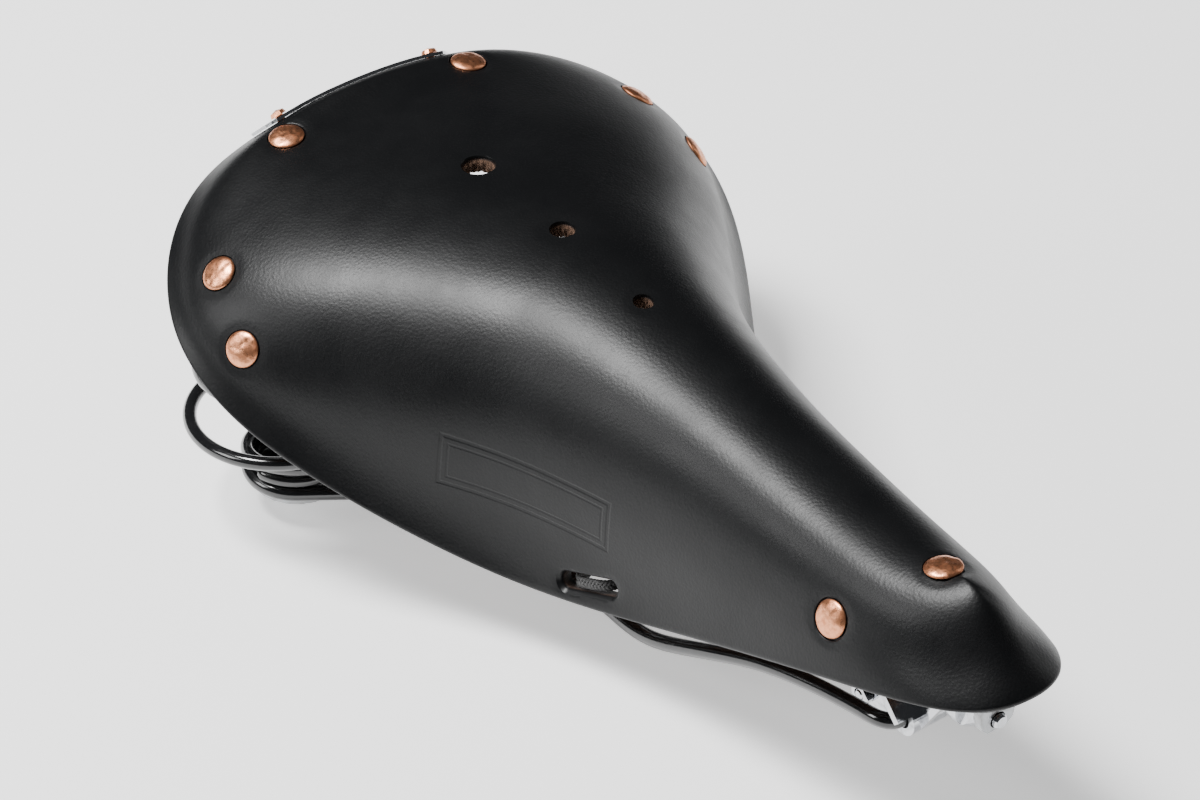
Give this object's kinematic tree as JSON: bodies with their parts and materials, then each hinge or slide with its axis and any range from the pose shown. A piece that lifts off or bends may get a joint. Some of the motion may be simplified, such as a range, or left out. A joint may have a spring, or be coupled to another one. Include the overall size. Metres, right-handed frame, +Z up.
{
  "type": "bicycle saddle",
  "caption": "Tensioned leather bicycle saddle with copper rivets, laced skirts, wire rails and conical rear springs.",
  "frame": {"origin": "midway between the two rails' straight clamp sections, on their centre lines", "axes": "+Z up, -Y toward the nose, +X to the rider's left when seated facing the nose along -Y"},
  "size_m": [0.163, 0.279, 0.0892],
  "materials": {
    "leather": "satin, fine grain, polished cut edge",
    "copper": "hammered copper",
    "chrome": "polished",
    "enamel": "gloss black",
    "steel": "zinc plated",
    "braid": "flat braid"
  },
  "bodies": {
    "undercarriage": {"rail_frame": "enamel", "spring_bolt_low_left": "steel", "spring_bolt_low_right": "steel", "spring_clip_low_left": "steel", "spring_clip_low_right": "steel", "spring_left": "enamel", "spring_nut_left": "steel", "spring_nut_right": "steel", "spring_right": "enamel", "spring_washer_left": "steel", "spring_washer_right": "steel"},
    "seat": {"badge_plate": "chrome", "badge_rivet_left": "copper", "badge_rivet_right": "copper", "cantle_plate": "steel", "leather_top": "leather", "rivet_rear_inner_left": "copper", "rivet_rear_inner_right": "copper", "rivet_rear_mid_left": "copper", "rivet_rear_mid_right": "copper", "rivet_rear_outer_left": "copper", "rivet_rear_outer_right": "copper", "shackle": "chrome", "shackle_bolt": "chrome", "shackle_nut": "chrome", "skirt_lace": "braid", "spring_bolt_high_left": "steel", "spring_bolt_high_right": "steel", "spring_clip_high_left": "steel", "spring_clip_high_right": "steel"},
    "nose": {"nose_piece": "steel", "rivet_nose_side_left": "copper", "rivet_nose_side_right": "copper", "rivet_nose_top": "copper", "tension_bolt": "chrome"},
    "tension_nut": {"tension_nut": "chrome"}
  },
  "joints": [
    {"name": "seat_rock", "type": "hinge", "parent": "undercarriage", "child": "seat", "pos_m": [0, -0.125, 0.025], "axis": [-1, 0, 0], "range_deg": [0, 4], "stiffness_Nm_per_rad": 1900, "deforming": ["spring_left", "spring_right"]},
    {"name": "nose_tension", "type": "slide", "parent": "seat", "child": "nose", "axis": [0, -1, 0], "range_m": [0, 0.005], "deforming": ["leather_top"]},
    {"name": "tension_nut_turn", "type": "hinge", "parent": "seat", "child": "tension_nut", "pos_m": [0, -0.14, 0.0375], "axis": [0, -1, 0], "range_deg": [0, 1440]}
  ],
  "couplings": [
    {"joint": "tension_nut_turn", "follows": "nose_tension", "rad_per_m": 5026.5}
  ]
}
